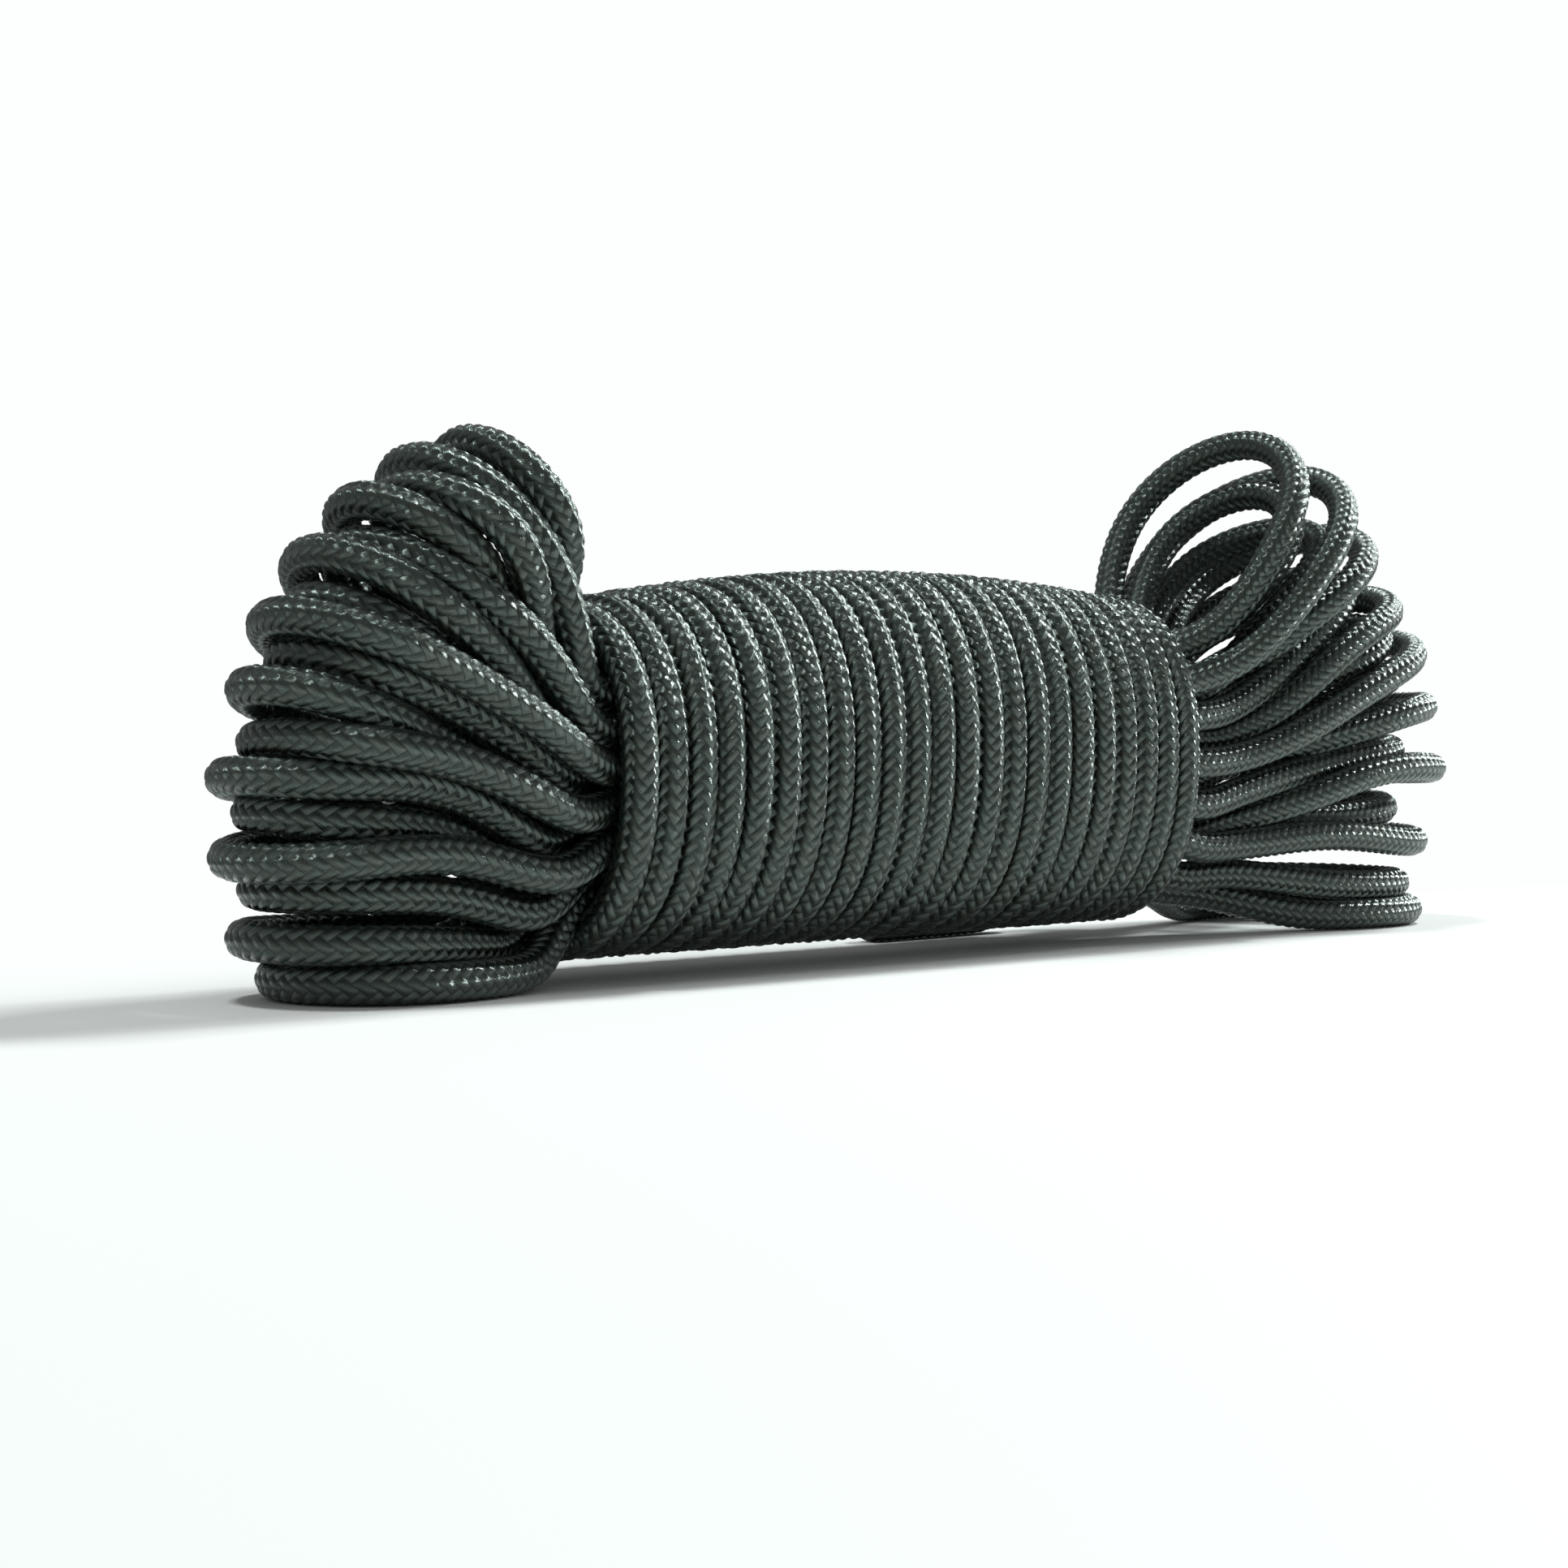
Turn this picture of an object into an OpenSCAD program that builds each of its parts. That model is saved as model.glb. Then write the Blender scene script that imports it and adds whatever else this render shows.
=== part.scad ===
// Hank of braided kernmantle cord: one cord laid in long loops, then wound round its own waist.
// Millimetres, +Z up. X runs along the hank, Y across it. The origin is the centre of the
// footprint, on the surface that the hank lies on.

/* [Cord] */
// Cord diameter
cord_d = 8; // [6:0.1:8.2]
// Clear gap between neighbouring turns of the waist winding
turn_gap = 0.6; // [0.6:0.05:1.5]
// Core bundle diameter inside the sheath
core_d = 5.2; // [3.6:0.1:5.6]
// Clearance between the sheath and its core
core_clearance = 0.1; // [0.05:0.05:0.3]
// Strands around the middle strand of the core
core_strands = 6; // [5:1:8]

/* [Loops] */
// Loops in the inner layer
inner_loops = 6; // [5:1:6]
// Loops in the middle layer
middle_loops = 6; // [5:1:6]
// Loops in the outer layer
outer_loops = 5; // [4:1:5]
// Clear gap between layers
layer_gap = 0.6; // [0.6:0.1:2]
// Clear gap between the strands of a layer at the left end of the waist
left_strand_gap = 0.9; // [0.9:0.1:2]
// Clear gap between the strands of a layer half way along the waist
middle_strand_gap = 2.8; // [2:0.1:3.8]
// Clear gap between the strands of a layer at the right end of the waist
right_strand_gap = 2.2; // [1.5:0.1:4]

/* [Waist winding] */
// Turns round the waist
waist_turns = 23; // [16:1:24]
// Extra room under the winding at its corners, past one clear turn
corner_ease = 0.7; // [0.7:0.1:3]
// Height of the winding's underside over the surface
waist_lift = 4.5; // [2:0.5:12]
// Bend radius where the last loop turns into the first turn of the winding
lead_radius = 16; // [14:0.5:17]

/* [Left fan of bights] */
// Reach of the outer bights from the end of the waist
left_reach = 77; // [75:1:90]
// Rise of the outer bights above the point that they fan out from
left_rise = 77; // [74:1:80]
// Difference in reach and in rise between one layer and the next
left_reach_step = 5.4; // [4.8:0.2:6.4]
// How far the inner bights bow out past their layer, on each side
left_bow = 11.7; // [9.7:0.1:12]
// Difference in bow between one layer and the next
left_bow_step = 0.2; // [-0.2:0.1:0.4]
// Lowest angle of the fan
left_low_angle = -42; // [-43:1:-34]
// Highest angle of the fan
left_high_angle = 71; // [66:1:72]
// Height of the point that the bights fan out from
left_pivot_height = 42; // [41:1:46]

/* [Right fan of bights] */
// Reach of the outer bights from the end of the waist
right_reach = 128; // [112:1:138]
// Rise of the outer bights above the point that they fan out from
right_rise = 106; // [98:1:109]
// Difference in reach and in rise between one layer and the next
right_reach_step = 0.5; // [0:0.1:3]
// How far the inner bights bow out past their layer, on each side
right_bow = 11.7; // [9.7:0.1:14]
// Difference in bow between one layer and the next
right_bow_step = -1.6; // [-2:0.1:0.4]
// Lowest angle of the fan
right_low_angle = -30; // [-30:1:-23]
// Highest angle of the fan
right_high_angle = 62; // [58:1:66]
// Height of the point that the bights fan out from
right_pivot_height = 47; // [46:1:51]

/* [Cut ends] */
// Length of the open sheath and core at each cut end
end_length = 16; // [10:1:20]
// Length of the melted seal on each cut end
seal_length = 3; // [2:0.5:4]

/* [Hidden] */

cord_colour = [0.11, 0.12, 0.11];
core_colour = [0.86, 0.85, 0.80];
seal_colour = [0.05, 0.05, 0.05];

loop_sides = 6;
end_sides = 12;
round_sides = 48;
run_rings = 2;          // rings along a run, from one end of the waist to the other
leg_rings = 3;          // rings along each leg of a bight
arc_rings = 4;          // rings round the half turn of a bight
leg_start_pull = 0.65;  // share of a leg's span that pulls it straight out of the waist
leg_end_pull = 0.2;     // share of a leg's span that pulls it straight before the half turn
left_tilt = 0.8;        // share of its fan angle by which the plane of a left bight tilts
right_tilt = 0.65;      // the same share on the right
rest_cut = cord_d / 10; // flat on the cords that the hank lies on
steep_angle = 67.5;     // normal angle of the winding's corner over the middle layer

loops_in = [inner_loops, middle_loops, outer_loops];
most_rows = max(loops_in);
layer_step = cord_d + layer_gap;
turn_pitch = cord_d + turn_gap;
waist_length = waist_turns * turn_pitch;
waist_end = waist_length / 2;
corner_reach = turn_pitch + corner_ease;

// The layers' bights lie a third of a row apart in the fans, whether a layer has an odd or an even count
row_phase = [1 / 3, 2 / 3, 0];
function row_shift(layer) =
    let (shift = row_phase[layer] - (loops_in[layer] - 1) / 2)
    shift - floor(shift + 1 / 2);

// [side, reach, rise, reach step, bow, bow step, low angle, high angle, pivot height, tilt]
left_fan = [-1, left_reach, left_rise, left_reach_step, left_bow, left_bow_step,
            left_low_angle, left_high_angle, left_pivot_height, left_tilt];
right_fan = [1, right_reach, right_rise, right_reach_step, right_bow, right_bow_step,
             right_low_angle, right_high_angle, right_pivot_height, right_tilt];

// ---- Small helpers ----
function unit(v) = v / norm(v);
function last(list) = list[len(list) - 1];
function through3(a, b, c, t) = a * (1 - t) * (1 - 2 * t) + b * 4 * t * (1 - t) + c * t * (2 * t - 1);
function bezier(p, q, r, s, t) =
    pow(1 - t, 3) * p + 3 * pow(1 - t, 2) * t * q + 3 * (1 - t) * t * t * r + pow(t, 3) * s;

// ---- Section of the waist at a place x along it ----
function row_step(x) =
    cord_d + through3(left_strand_gap, middle_strand_gap, right_strand_gap, (x + waist_end) / waist_length);
function half_height(x) = most_rows / 2 * row_step(x) + corner_reach * sin(steep_angle);
function waist_z(x) = waist_lift + cord_d / 2 + half_height(x);
function layer_y(layer) = (layer + 1 / 2) * layer_step;
function slot(layer, row, x, side) = [x, side * layer_y(layer), waist_z(x) + row * row_step(x)];

// ---- Bights ----
function in_plane(fan, angle) = [fan[0] * cos(angle), 0, sin(angle)];
function fan_angle(fan, row) = fan[6] + (fan[7] - fan[6]) * (row / most_rows + 1 / 2);
function bight_tilt(fan, row) = max(0, fan[9] * fan_angle(fan, row));
function bight_width(fan, layer) = layer_y(layer) + fan[4] + layer * fan[5];
function bight_tip(fan, row, layer) =
    let (angle = fan_angle(fan, row), short = (2 - layer) * fan[3])
    [fan[0] * (waist_end + (fan[1] - short) * cos(angle)), 0,
     max(cord_d / 2 - rest_cut, fan[8] + (fan[2] - short) * sin(angle))];
function bight_side(fan, row, layer, side) =
    bight_tip(fan, row, layer) - bight_width(fan, layer) * in_plane(fan, bight_tilt(fan, row))
    + [0, side * bight_width(fan, layer), 0];

// Leg out, half turn and leg back, from slot a to slot b, all but the last point
function bight(fan, a, b, row_a, row_b, layer, side) =
    let (
        p = bight_side(fan, row_a, layer, side),
        q = bight_side(fan, row_b, layer, -side),
        outward = [fan[0], 0, 0],
        centre = (p + q) / 2,
        across = unit(p - q),
        radius = norm(p - q) / 2,
        mean = in_plane(fan, (bight_tilt(fan, row_a) + bight_tilt(fan, row_b)) / 2),
        ahead = unit(mean - (mean * across) * across),
        span_a = norm(p - a),
        span_b = norm(q - b)
    )
    concat(
        [for (i = [0 : leg_rings - 1])
            bezier(a, a + leg_start_pull * span_a * outward, p - leg_end_pull * span_a * ahead, p,
                   i / leg_rings)],
        [for (i = [0 : arc_rings - 1])
            let (turn = 180 * i / arc_rings)
            centre + radius * (sin(turn) * ahead + cos(turn) * across)],
        [for (i = [0 : leg_rings - 1])
            bezier(q, q - leg_end_pull * span_b * ahead, b + leg_start_pull * span_b * outward, b,
                   i / leg_rings)]
    );

// ---- Loops, in the order in which the cord lays them ----
// Each is [layer, row at the right, row of its back run at the left, row of its front run there].
// The layers are filled upwards, downwards and upwards, and each climb is spread along the runs.
loops = [for (layer = [0 : 2])
    let (way = layer == 1 ? -1 : 1)
    for (i = [0 : loops_in[layer] - 1])
        let (row = way * (i - (loops_in[layer] - 1) / 2))
        [layer, row, row - way / 2, row + way / 2]];

function run(layer, row_a, row_b, side) =
    [for (i = [0 : run_rings - 1])
        let (t = i / run_rings)
        slot(layer, row_a + (row_b - row_a) * t, side * (t * waist_length - waist_end), side)];

function loop_path(i) =
    let (
        this = loops[i],
        next = loops[i + 1],
        layer = this[0],
        final = i == len(loops) - 1,
        to_layer = final ? layer : next[0],
        right_row = this[1] + row_shift(layer),
        left_row = this[3] + row_shift(layer),
        to_row = final ? left_row : next[2] + row_shift(to_layer),
        to_slot = final ? lead_from : slot(to_layer, next[2], -waist_end, 1)
    )
    concat(
        run(layer, this[2], this[1], 1),
        bight(right_fan, slot(layer, this[1], waist_end, 1), slot(layer, this[1], waist_end, -1),
              right_row, right_row, layer, 1),
        run(layer, this[1], this[3], -1),
        bight(left_fan, slot(layer, this[3], -waist_end, -1), to_slot,
              left_row, to_row, max(layer, to_layer), -1)
    );

start_from = slot(0, loops[0][2], -waist_end, 1);

// ---- Waist winding: down the back, under, up the front and over ----
// A corner of a turn, past the last strand of a layer and of those inside it, at a normal angle
function rows_past(layer) = layer == 2 ? outer_loops : max(inner_loops, middle_loops);
function corner(layer, angle, y_side, z_side, x) =
    [x, y_side * (layer_y(layer) + corner_reach * cos(angle)),
     waist_z(x) + z_side * (rows_past(layer) / 2 * row_step(x) + corner_reach * sin(angle))];
quarter = [[2, 0], [2, 45], [1, steep_angle]];
quarter_back = [quarter[2], quarter[1], quarter[0]];
turn = concat(
    [for (c = quarter) [c[0], c[1], 1, -1]],
    [for (c = quarter_back) [c[0], c[1], -1, -1]],
    [for (c = quarter) [c[0], c[1], -1, 1]],
    [for (c = quarter_back) [c[0], c[1], 1, 1]]);
winding_from = corner(2, 0, 1, 1, -waist_end);
winding_rings = [for (i = [0 : waist_turns * len(turn) - 1])
    let (c = turn[i % len(turn)])
    corner(c[0], c[1], c[2], c[3], -waist_end + turn_pitch * (i + 1) / len(turn))];
winding_path = concat(
    [winding_from, winding_from - [0, 0, cord_d]],
    winding_rings,
    [last(winding_rings) - [0, 0, cord_d]]);

// ---- Lead from the last loop into the winding, a quarter bend ----
lead_steps = 5;
lead_from = winding_from + [-lead_radius, 0, lead_radius];
lead_path = [for (i = [0 : lead_steps])
    let (a = 90 - 90 * i / lead_steps)
    winding_from + lead_radius * [cos(a) - 1, 0, sin(a)]];

hank_path = concat([for (i = [0 : len(loops) - 1]) each loop_path(i)], [lead_from]);

// ---- Free ends: steps from where each leaves the hank, then a straight cut end ----
tail_steps = [[0, 0, 0], [0, 0, -9], [0.4, 0.8, -20], [0.8, 1.8, -33], [0.8, 2.6, -44.5], [-0.4, 2.8, -51],
              [-3.8, 2.8, -56.2], [-9, 2.7, -59.7], [-15.2, 2.5, -61], [-29, 2, -61], [-42, 1.6, -61]];
start_steps = [[0, 0, 0], [-6, 0, -1], [-12, -0.4, -3.2], [-19, -1, -5.6], [-27, -1.8, -7.4]];
tail_path = [for (s = tail_steps) last(winding_path) + s];
start_path = [for (s = start_steps) start_from + s];

// ---- Tubes along a path ----
function path_direction(p, i) =
    i == 0 ? unit(p[1] - p[0])
    : i == len(p) - 1 ? unit(p[i] - p[i - 1])
    : unit(unit(p[i + 1] - p[i]) + unit(p[i] - p[i - 1]));
function level(v, direction) = unit(v - (v * direction) * direction);
function side_vectors(p) =
    let (first = level(abs(path_direction(p, 0).z) > 0.9 ? [0, 1, 0] : [0, 0, 1], path_direction(p, 0)))
    [for (i = 0, v = first; i < len(p);
          i = i + 1, v = i < len(p) ? level(v, path_direction(p, i)) : v) v];
function tube_points(p, sides) =
    let (across = side_vectors(p))
    [for (i = [0 : len(p) - 1])
        let (u = across[i], w = cross(path_direction(p, i), u))
        for (j = [0 : sides - 1])
            let (a = 360 * (j + 0.5) / sides)
            p[i] + cord_d / 2 * (cos(a) * u + sin(a) * w)];
function tube_faces(rings, sides) = concat(
    [for (j = [1 : sides - 2]) [0, j + 1, j]],
    [for (i = [0 : rings - 2], j = [0 : sides - 1])
        let (a = i * sides + j, b = i * sides + (j + 1) % sides)
        each [[a, b, b + sides], [a, b + sides, a + sides]]],
    [for (j = [1 : sides - 2])
        let (o = (rings - 1) * sides)
        [o, o + j, o + j + 1]]);
module tube(p, sides) {
    polyhedron(tube_points(p, sides), tube_faces(len(p), sides));
}

// ---- Least gap of a tube to itself, between every two stretches that aren't neighbours ----
function stretch_distance(a, b, c, d) =
    let (
        u = b - a, v = d - c, w = a - c,
        uu = u * u, uv = u * v, vv = v * v, uw = u * w, vw = v * w,
        spread = uu * vv - uv * uv,
        s = spread > 1e-6 ? min(1, max(0, (uv * vw - vv * uw) / spread)) : 0,
        t = min(1, max(0, (uv * s + vw) / vv)),
        s_near = min(1, max(0, (uv * t - uw) / uu))
    )
    norm(w + s_near * u - t * v);
neighbours = 4;
function least_gap(p) =
    min([for (i = [0 : len(p) - 2 - neighbours], j = [i + neighbours : len(p) - 2])
        stretch_distance(p[i], p[i + 1], p[j], p[j + 1])]) - cord_d;

// ---- Origin: centre of the footprint, which the bights bound ----
outline = tube_points(hank_path, loop_sides);
foot_centre = [(max([for (p = outline) p.x]) + min([for (p = outline) p.x])) / 2,
               (max([for (p = outline) p.y]) + min([for (p = outline) p.y])) / 2, 0];
module placed() {
    translate(-foot_centre) children();
}

module hank_loops() {
    color(cord_colour) difference() {
        placed() tube(hank_path, loop_sides);
        translate([0, 0, -cord_d / 2]) cube([4 * waist_length, 2 * waist_length, cord_d], center = true);
    }
}

module waist_winding() {
    color(cord_colour) placed() tube(winding_path, loop_sides);
}

module winding_lead() {
    color(cord_colour) placed() tube(lead_path, loop_sides);
}

module tail_cord() {
    color(cord_colour) placed() tube(tail_path, end_sides);
}

module start_cord() {
    color(cord_colour) placed() tube(start_path, end_sides);
}

// Places its children at the end of a path, with +Z along the way that the path ends in
module at_end(p) {
    d = path_direction(p, len(p) - 1);
    translate(last(p)) rotate([0, acos(d.z), atan2(d.y, d.x)]) children();
}

module open_sheath() {
    overcut = 1; // past each end of the bore
    difference() {
        cylinder(h = end_length, d = cord_d, $fn = round_sides);
        translate([0, 0, -overcut])
            cylinder(h = end_length + 2 * overcut, d = core_d + 2 * core_clearance, $fn = round_sides);
    }
}

// One strand in the middle and the rest in a ring round it, each just clear of the next
strand_gap = 0.04;
ring_share = sin(180 / core_strands);
ring_strand_d = core_d * ring_share / (1 + ring_share) - strand_gap;
middle_strand_d = core_d - 2 * ring_strand_d - 2 * strand_gap;
module core_bundle() {
    cylinder(h = end_length, d = middle_strand_d, $fn = round_sides / 2);
    for (i = [0 : core_strands - 1]) {
        rotate(i * 360 / core_strands)
            translate([(core_d - ring_strand_d) / 2, 0, 0])
                cylinder(h = end_length, d = ring_strand_d, $fn = round_sides / 2);
    }
}

// Melted seal: a short plug on the cut face, with a domed end
module seal() {
    dome = seal_length / 2;
    translate([0, 0, end_length]) {
        rotate_extrude($fn = round_sides)
            polygon(concat(
                [[0, 0], [cord_d / 2, 0]],
                [for (a = [0 : 15 : 90])
                    [cord_d / 2 - dome + dome * cos(a), seal_length - dome + dome * sin(a)]],
                [[0, seal_length]]));
    }
}

module tail_sheath() {
    color(cord_colour) placed() at_end(tail_path) open_sheath();
}

module tail_core() {
    color(core_colour) placed() at_end(tail_path) core_bundle();
}

module tail_seal() {
    color(seal_colour) placed() at_end(tail_path) seal();
}

module start_sheath() {
    color(cord_colour) placed() at_end(start_path) open_sheath();
}

module start_core() {
    color(core_colour) placed() at_end(start_path) core_bundle();
}

module start_seal() {
    color(seal_colour) placed() at_end(start_path) seal();
}

echo("Least gap of the loops to themselves", least_gap(hank_path));
echo("Least gap of the winding to itself", least_gap(winding_path));

hank_loops();
waist_winding();
winding_lead();
tail_cord();
tail_sheath();
tail_core();
tail_seal();
start_cord();
start_sheath();
start_core();
start_seal();
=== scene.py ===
import math

import bpy
import numpy as np
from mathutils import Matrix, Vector


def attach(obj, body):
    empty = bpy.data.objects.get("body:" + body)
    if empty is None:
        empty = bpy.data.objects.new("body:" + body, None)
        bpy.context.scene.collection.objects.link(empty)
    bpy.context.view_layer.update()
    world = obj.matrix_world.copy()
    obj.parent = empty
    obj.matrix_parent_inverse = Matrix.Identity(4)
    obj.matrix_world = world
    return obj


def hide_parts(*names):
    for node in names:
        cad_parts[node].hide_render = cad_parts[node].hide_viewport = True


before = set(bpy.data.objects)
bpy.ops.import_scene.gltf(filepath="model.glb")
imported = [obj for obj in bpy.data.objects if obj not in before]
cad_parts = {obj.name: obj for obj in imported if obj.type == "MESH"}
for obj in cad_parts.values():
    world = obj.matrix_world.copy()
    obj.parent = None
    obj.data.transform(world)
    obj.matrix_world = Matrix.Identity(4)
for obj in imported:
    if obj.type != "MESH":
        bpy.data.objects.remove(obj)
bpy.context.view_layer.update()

# ---------------------------------------------------------------- sizes, in metres, as in the CAD source
CORD_D = 0.008
TURN_GAP = 0.0006
LOOPS_IN = (6, 6, 5)                     # inner, middle and outer layer
LAYERS, MOST_ROWS = len(LOOPS_IN), max(LOOPS_IN)
OUTER = LAYERS - 1
LAYER_STEP = CORD_D + 0.0006
STRAND_GAPS = (0.0009, 0.0028, 0.0022)   # left end, middle and right end of the waist
WAIST_TURNS = 23
CORNER_EASE = 0.0007
WAIST_LIFT = 0.0045
LEAD_RADIUS = 0.016
END_LENGTH = 0.016
SEAL_LENGTH = 0.003
STEEP_ANGLE = math.radians(67.5)
ROW_PHASE = (1 / 3, 2 / 3, 0)
REST_CUT = CORD_D / 10

TURN_PITCH = CORD_D + TURN_GAP
WAIST_LENGTH = WAIST_TURNS * TURN_PITCH
WAIST_END = WAIST_LENGTH / 2
CORNER_REACH = TURN_PITCH + CORNER_EASE
FOOT_CENTRE = np.array([0.0256689, 0, 0])      # the CAD source moves the whole part back by this
REST_Z = 0.00423                # centreline of a settled cord that lies on the surface

RUN_RINGS, LEG_RINGS, ARC_RINGS = 40, 16, 18   # along a run, a leg and a half turn
UP = np.array([0, 0, 1.0])
TINY = 1e-9                     # keeps a division from meeting zero


def unit(v):
    return v / np.linalg.norm(v)


def bezier(p, q, r, s, t):
    return (1 - t) ** 3 * p + 3 * (1 - t) ** 2 * t * q + 3 * (1 - t) * t * t * r + t ** 3 * s


# ---------------------------------------------------------------- fans of bights
class Fan:
    """Where the bights at one end of the hank lie. side is -1 at the left end and 1 at the right."""

    def __init__(self, side, reach, rise, low, high, pivot, tilt, pulls):
        self.side, self.reach, self.rise = side, reach, rise
        self.low, self.high, self.pivot = low, high, pivot
        self.tilt_share, self.pulls = tilt, pulls
        self.rest = CORD_D / 2 - REST_CUT

    def angle(self, row):
        return math.radians(self.low + (self.high - self.low) * (row / MOST_ROWS + 0.5))

    def ahead(self, angle):
        return np.array([self.side * math.cos(angle), 0, math.sin(angle)])

    def shoulder(self, row, layer, side):
        """Where a bight's half turn begins, and the tilt of its plane."""
        angle, recess, width, tilt, shift = self.bight(row, layer)
        tip = np.array([self.side * (WAIST_END + (self.reach - recess) * math.cos(angle)), 0,
                        max(self.rest, self.pivot + (self.rise - recess) * math.sin(angle))])
        return tip - width * self.ahead(tilt) + np.array([0, side * width + shift, 0]), tilt

    def loosened(self, points, row):
        return points


class CadFan(Fan):
    """The fan as the CAD source lays it: each layer has its own width and reach."""

    def __init__(self, *args, step, bow, bow_step):
        super().__init__(*args)
        self.step, self.bow, self.bow_step = step, bow, bow_step

    def bight(self, row, layer):
        angle = self.angle(row)
        width = layer_y(layer) + self.bow + layer * self.bow_step
        return angle, (OUTER - layer) * self.step, width, max(0.0, self.tilt_share * angle), 0.0


class LaidFan(Fan):
    """The fan as the cord settles: bights side by side, every other one drawn back a little.

    uneven is how far chance moves a bight: its angle, recess, half width, tilt and sideways shift.
    puff is the swell past the winding: its height, where it peaks and how far it spreads.
    wave is the height and length of the waves along a strand.
    """

    PLACES = LAYERS * MOST_ROWS     # one above the other, with the layers' rows interleaved
    PLACE_SHIFT = 0.25              # keeps rows off the boundary between two places
    UNEVEN_DRAWS, WAVE_DRAWS = 5, 2
    PHASE_SPAN = 3                  # radians that chance moves a wave to each side
    AXIS = 0.005                    # nearer than this to the fan's axis, the swell fades

    def __init__(self, *args, widths, back, low_width, uneven, puff, wave, seed):
        super().__init__(*args)
        self.widths, self.back, self.low_width = widths, back, low_width
        self.uneven, self.puff, self.wave = uneven, puff, wave
        self.dice = np.random.default_rng(seed).uniform(
            -1, 1, (self.PLACES, self.UNEVEN_DRAWS + self.WAVE_DRAWS))
        self.rest = REST_Z

    def place(self, row):
        place = math.floor((row + MOST_ROWS / 2) * LAYERS - self.PLACE_SHIFT)
        return int(np.clip(place, 0, self.PLACES - 1))

    def bight(self, row, layer):
        place = self.place(row)
        turn, recess, width, tilt, shift = self.uneven * self.dice[place, :self.UNEVEN_DRAWS]
        angle = self.angle(row) + turn
        odd = place % 2
        return (angle, self.back * odd + recess,
                self.widths[odd] + self.low_width * max(0.0, -math.sin(angle)) + width,
                max(0.0, self.tilt_share * self.angle(row)) + tilt, shift)

    def loosened(self, points, row):
        """Strands let go by the winding swell outwards just past its edge, and wave up and down."""
        swell, at, spread = self.puff
        past = np.abs(points[:, 0]) - WAIST_END
        out = points[:, 1:] - np.array([0, waist_z(self.side * WAIST_END)])
        out /= np.maximum(np.linalg.norm(out, axis=1), self.AXIS)[:, None]
        points[:, 1:] += (swell * np.exp(-((past - at) / spread) ** 2))[:, None] * out
        height, length = self.wave
        size, phase = self.dice[self.place(row), self.UNEVEN_DRAWS:]
        free = np.clip((points[:, 2] - self.rest) / self.pivot, 0, 1)
        points[:, 2] += (height * size * free
                         * np.sin(2 * math.pi * np.maximum(past, 0) / length + self.PHASE_SPAN * phase))
        return points


def row_step(x):
    a, b, c = STRAND_GAPS
    t = (x + WAIST_END) / WAIST_LENGTH
    return CORD_D + a * (1 - t) * (1 - 2 * t) + b * 4 * t * (1 - t) + c * t * (2 * t - 1)


def half_height(x):
    return MOST_ROWS / 2 * row_step(x) + CORNER_REACH * math.sin(STEEP_ANGLE)


def waist_z(x):
    return WAIST_LIFT + CORD_D / 2 + half_height(x)


def layer_y(layer):
    return (layer + 1 / 2) * LAYER_STEP


def slot(layer, row, x, side, squeeze=1.0):
    return np.array([x, side * squeeze * layer_y(layer), waist_z(x) + row * row_step(x)])


def row_shift(layer):
    shift = ROW_PHASE[layer] - (LOOPS_IN[layer] - 1) / 2
    return shift - math.floor(shift + 1 / 2)


def bight(fan, a, b, row_a, row_b, layer, side, swells=True):
    """Leg out, half turn and leg back, from slot a to slot b, all but the last point.

    swells is False for the bight that ends at the lead, which the winding holds.
    """
    (p, tilt_a), (q, tilt_b) = fan.shoulder(row_a, layer, side), fan.shoulder(row_b, layer, -side)
    outward = np.array([fan.side, 0, 0])
    centre, across, radius = (p + q) / 2, unit(p - q), np.linalg.norm(p - q) / 2
    mean = fan.ahead((tilt_a + tilt_b) / 2)
    ahead = unit(mean - (mean @ across) * across)
    span_a, span_b = np.linalg.norm(p - a), np.linalg.norm(q - b)
    leave, arrive = fan.pulls
    t = (np.arange(LEG_RINGS) / LEG_RINGS)[:, None]
    turn = (math.pi * np.arange(ARC_RINGS) / ARC_RINGS)[:, None]
    points = np.concatenate([
        bezier(a, a + leave * span_a * outward, p - arrive * span_a * ahead, p, t),
        centre + radius * (np.sin(turn) * ahead + np.cos(turn) * across),
        bezier(q, q - arrive * span_b * ahead, b + leave * span_b * outward, b, t)])
    return fan.loosened(points, (row_a + row_b) / 2) if swells else points


def run(layer, row_a, row_b, side, squeeze):
    out = []
    for i in range(RUN_RINGS):
        t = i / RUN_RINGS
        out.append(slot(layer, row_a + (row_b - row_a) * t, side * (t * WAIST_LENGTH - WAIST_END),
                        side, squeeze))
    return np.array(out)


def loop_list():
    """Each loop: layer, row at the right end, and rows of its back and front runs at the left end."""
    loops = []
    for layer, count in enumerate(LOOPS_IN):
        way = -1 if layer == 1 else 1
        for i in range(count):
            row = way * (i - (count - 1) / 2)
            loops.append((layer, row, row - way / 2, row + way / 2))
    return loops


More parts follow.
